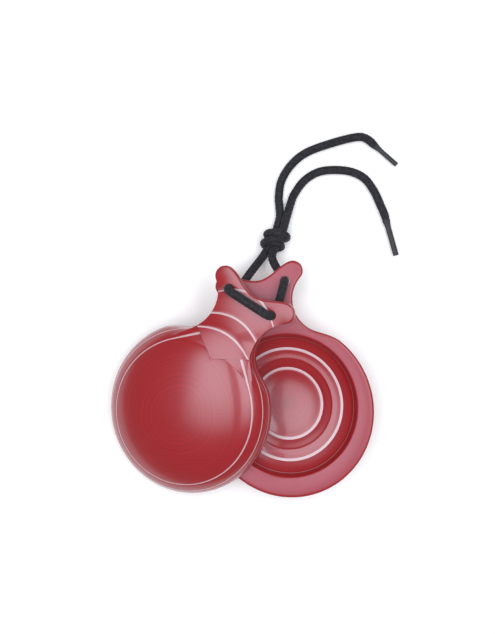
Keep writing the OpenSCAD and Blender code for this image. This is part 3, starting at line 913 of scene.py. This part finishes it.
class CASTANET_OT_cord_strands(bpy.types.Operator):
    """Build the strands behind the ears, between the shells and across the upper neck"""

    bl_idname = "castanet.cord_strands"
    bl_label = "Cord strands"

    def execute(self, context):
        s = sizes()
        material = bpy.data.materials["braided_cord"]
        seat, _, upper = placements()
        for side, name in ((-1, "left"), (1, "right")):
            bm, _ = braided(refined(back_points(side), ROUTE_STEPS), s.cord_d / 2)
            strand = link(f"{name}_back_strand_braid", in_metres(bm), material,
                          "lower_shell", f"{name}_back_strand")
        b, z = BRIDGE_BEND, BRIDGE_RISE
        half = [Vector((-s.hole_x, s.hole_y, z * k / 3)) for k in range(3)]
        half += [Vector((-s.hole_x + b + b * math.cos(math.radians(a)), s.hole_y,
                         z + b * math.sin(math.radians(a)))) for a in range(180, 75, -15)]
        path = half + [Vector((x, s.hole_y, z + b)) for x in (-5, 0, 5)] + [
            Vector((-p.x, p.y, p.z)) for p in reversed(half)]
        bm, _ = braided([upper @ p for p in path], s.cord_d / 2)
        bridge = link("bridge_strand_braid", in_metres(bm), material,
                      "upper_shell", "bridge_strand")
        for side, name in ((-1, "left"), (1, "right")):
            self.between(name, side, seat, upper, material)
        return {"FINISHED"}

    def between(self, name, side, seat, upper, material):
        """One strand between the shells, split into three pieces"""
        s = sizes()
        h = Vector((side * s.hole_x, s.hole_y, 0))
        p, q = seat @ h, upper @ h
        up_low = (seat @ (h + UP) - p).normalized()
        up_high = (upper @ (h + UP) - q).normalized()
        a, b = p + STRAIGHT_OUT * up_low, q - STRAIGHT_OUT * up_high
        line = resampled([p] + bend(a, up_low, up_high, b, BETWEEN_STEPS) + [b, q], STEP)
        n = len(line)
        cuts = (0, *(int(n * share) for share in BETWEEN_CUTS), n - 1)
        pairs = (("lower_shell", "lean_link"), ("lean_link", "swing_link"),
                 ("swing_link", "upper_shell"))
        for k, (one, two) in enumerate(pairs):
            part = line[cuts[k]:cuts[k + 1] + 1]
            bm, _ = braided(part, s.cord_d / 2, start=STEP * cuts[k])
            obj = mesh_object(f"{name}_between_{k + 1}_braid", in_metres(bm), material)
            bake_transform(obj)
            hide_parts(f"{name}_between_strand")


# Steps round a wrap of the knot, and how far a wrap climbs along the cord each way, mm
WRAP_STEPS, WRAP_CLIMB = 48, 0.9
# Each wrap's middle, its turn in degrees, and its half width and half height, mm
KNOT_WRAPS = (
    ((16.15, 62.2, 4.75), -9, 4.3, 2.75),
    ((14.2, 58.2, 4.75), -11, 3.75, 2.75))
# The strand laid over both wraps, then the two that pass through them
KNOT_STRANDS = (
    ((10.7, 59.2, 4.6), (11.6, 59.5, 7.0), (14, 60, 8.1), (16.6, 60.5, 8), (19.4, 61.3, 6.9),
     (20.3, 61.6, 4.6)),
    ((11.5, 55.6, 4.8), (13.8, 59.2, 4.7), (15.4, 62.2, 4.7), (16.4, 64.6, 4.2)),
    ((13.6, 55.2, 4.9), (15.2, 58.8, 4.7), (16.8, 62.0, 4.7), (18, 64.4, 4.9)))
KNOT_STRAND_STEPS = 6


def wrap_path(middle, turn, wide, tall):
    """A turn of cord drawn round the strands that pass through the knot"""
    a = math.radians(turn)
    across = Vector((math.cos(a), math.sin(a), 0))
    lead = Vector((-math.sin(a), math.cos(a), 0))
    path = []
    for i in range(WRAP_STEPS + 1):
        f = 2 * math.pi * i / WRAP_STEPS
        path.append(Vector(middle) + wide * math.cos(f) * across + tall * math.sin(f) * UP
                    + WRAP_CLIMB * math.sin(f) * lead)
    return path


class CASTANET_OT_knot(bpy.types.Operator):
    """Build the knot: two wraps of cord drawn round the strands that pass through it"""

    bl_idname = "castanet.knot"
    bl_label = "Knot"

    def execute(self, context):
        s = sizes()
        material = bpy.data.materials["braided_cord"]
        paths = [wrap_path(*wrap) for wrap in KNOT_WRAPS]
        paths += [refined([Vector(p) for p in points], KNOT_STRAND_STEPS)
                  for points in KNOT_STRANDS]
        whole = bmesh.new()
        for path in paths:
            bm, _ = braided(path, s.cord_d / 2)
            mesh = bpy.data.meshes.new("wrap")
            bm.to_mesh(mesh)
            bm.free()
            whole.from_mesh(mesh)
            bpy.data.meshes.remove(mesh)
        knot = link("cord_knot_wraps", in_metres(whole), material, "lower_shell", "cord_knot")
        return {"FINISHED"}


class CASTANET_OT_lower_shell(bpy.types.Operator):
    """Build the lower shell, which lies on its dome with its face up"""

    bl_idname = "castanet.lower_shell"
    bl_label = "Lower shell"

    def execute(self, context):
        build_shell("lower", placements()[1])
        return {"FINISHED"}


class CASTANET_OT_upper_shell(bpy.types.Operator):
    """Build the upper shell, which leans over the lower one's rim"""

    bl_idname = "castanet.upper_shell"
    bl_label = "Upper shell"

    def execute(self, context):
        build_shell("upper", placements()[2])
        return {"FINISHED"}


class CASTANET_OT_materials(bpy.types.Operator):
    """Make the laminate and cord materials"""

    bl_idname = "castanet.materials"
    bl_label = "Materials"

    def execute(self, context):
        c = colours()
        fibre("lacquered_red", c.red, c.face, grain=0.12, rough=0.33)
        fibre("lacquered_pale", c.pale, c.pale, grain=0.02, rough=0.35)
        braid("braided_cord", c.cord)
        material_of("crimped_sleeve", c.sleeve, {"Roughness": 0.6})
        return {"FINISHED"}


# Each panel's place over the table, its two sides, its glow, and its dark side: 0 for the
# left one and 1 for the right one. The panels hang at one height and have one colour.
PANELS = (
    ("left_panel", (-0.23, 0.02), 0.48, 0.8, 13.2, 0),
    ("right_panel", (0.24, 0.02), 0.28, 0.8, 15.5, 1))
PANEL_HEIGHT, PANEL_COLOUR = 0.5, (0.93, 0.96, 1.0)
# Where a panel starts to fade and where it is dark, across it and then along it
FADE_ACROSS, FADE_ALONG = (0.45, 0.98), (0.1, 0.5)
# Half side of the table in metres, and the glow of the table and of the room
TABLE_HALF, TABLE_GLOW, ROOM_GLOW = 1.5, 0.12, 0.22
# The camera's aim and distance in metres, its tilt off the plumb line and the direction of
# that tilt, and its sensor and lens in millimetres
AIM, DISTANCE = Vector((0.00306, 0.02649, 0.01)), 0.34
TILT, TILT_FROM = math.radians(2), math.radians(200)
SENSOR, LENS = 36, 44.76


def soften(light, dark_side):
    """Let a panel's brightness die away toward both ends and toward one of its sides"""
    light.use_nodes = True
    tree = light.node_tree
    where = shader_node(tree, "NewGeometry")
    axes = shader_node(tree, "SeparateXYZ")
    both = shader_node(tree, "Math", operation="MULTIPLY")
    wire(tree, (
        (where, "Parametric", axes, 0),
        (both, 0, tree.nodes["Emission"], "Strength")))
    for k, (axis, middle, (core, edge)) in enumerate((
            ("X", 1 - dark_side, FADE_ACROSS), ("Y", 0.5, FADE_ALONG))):
        off = shader_node(tree, "Math", {1: middle}, operation="SUBTRACT")
        size = shader_node(tree, "Math", operation="ABSOLUTE")
        fade = ranged(tree, core, edge, 1, 0, interpolation_type="SMOOTHSTEP")
        wire(tree, (
            (axes, axis, off, 0),
            (off, 0, size, 0),
            (size, 0, fade, "Value"),
            (fade, 0, both, k)))


class CASTANET_OT_stage(bpy.types.Operator):
    """Lay the pale table, the soft studio light and the camera"""

    bl_idname = "castanet.stage"
    bl_label = "Stage"

    def execute(self, context):
        scene = context.scene
        scene.view_settings.view_transform = "Standard"
        bm = bmesh.new()
        bmesh.ops.create_grid(bm, x_segments=1, y_segments=1, size=TABLE_HALF)
        material_of("table", colours().table, {
            "Emission Color": (1, 1, 1, 1), "Emission Strength": TABLE_GLOW, "Roughness": 0.9})
        table = mesh_object("table", bm, bpy.data.materials["table"])
        world = bpy.data.worlds.new("studio")
        world.use_nodes = True
        room = world.node_tree.nodes["Background"]
        room.inputs["Color"].default_value = (1, 1, 1, 1)
        room.inputs["Strength"].default_value = ROOM_GLOW
        scene.world = world
        for name, at, wide, deep, glow, dark_side in PANELS:
            data = bpy.data.lights.new(name, "AREA")
            data.shape = "RECTANGLE"
            data.size = wide
            data.size_y = deep
            data.energy = glow * wide * deep
            data.color = PANEL_COLOUR
            soften(data, dark_side)
            lamp = bpy.data.objects.new(name, data)
            scene.collection.objects.link(lamp)
            lamp.location = (*at, PANEL_HEIGHT)
        data = bpy.data.cameras.new("camera")
        data.sensor_width = SENSOR
        data.lens = LENS
        camera = bpy.data.objects.new("camera", data)
        scene.collection.objects.link(camera)
        back = Vector((math.sin(TILT) * math.cos(TILT_FROM),
                       math.sin(TILT) * math.sin(TILT_FROM), math.cos(TILT)))
        right = Vector((0, 1, 0)).cross(back).normalized()
        camera.matrix_world = Matrix.Translation(AIM + DISTANCE * back) @ Matrix(
            (right, back.cross(right), back)).transposed().to_4x4()
        scene.camera = camera
        return {"FINISHED"}


class CASTANET_PT_panel(bpy.types.Panel):
    """Sizes, colours and the operators that build the castanets"""

    bl_idname = "CASTANET_PT_panel"
    bl_label = "Castanets"
    bl_space_type = "VIEW_3D"
    bl_region_type = "UI"
    bl_category = "Castanets"

    def draw(self, context):
        layout = self.layout
        for group in (context.scene.castanet_sizes, context.scene.castanet_colours):
            box = layout.box()
            for key in group.__annotations__:
                box.prop(group, key)
        for operator in OPERATORS:
            layout.operator(operator.bl_idname)


OPERATORS = (
    CASTANET_OT_materials, CASTANET_OT_stage, CASTANET_OT_cord_tails,
    CASTANET_OT_cord_strands, CASTANET_OT_knot, CASTANET_OT_lower_shell,
    CASTANET_OT_upper_shell)
CLASSES = (CastanetSizes, CastanetColours) + OPERATORS + (CASTANET_PT_panel,)


def register():
    """Add the classes and the sizes and colours of the scene"""
    for c in CLASSES:
        bpy.utils.register_class(c)
    bpy.types.Scene.castanet_sizes = bpy.props.PointerProperty(type=CastanetSizes)
    bpy.types.Scene.castanet_colours = bpy.props.PointerProperty(type=CastanetColours)


def unregister():
    """Take them away again"""
    del bpy.types.Scene.castanet_colours
    del bpy.types.Scene.castanet_sizes
    for c in reversed(CLASSES):
        bpy.utils.unregister_class(c)


def main():
    """Build every piece"""
    register()
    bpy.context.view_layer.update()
    bpy.ops.castanet.materials()
    bpy.ops.castanet.stage()
    bpy.ops.castanet.cord_tails()
    bpy.ops.castanet.cord_strands()
    bpy.ops.castanet.knot()
    bpy.ops.castanet.lower_shell()
    bpy.ops.castanet.upper_shell()


if __name__ == "__main__":
    main()
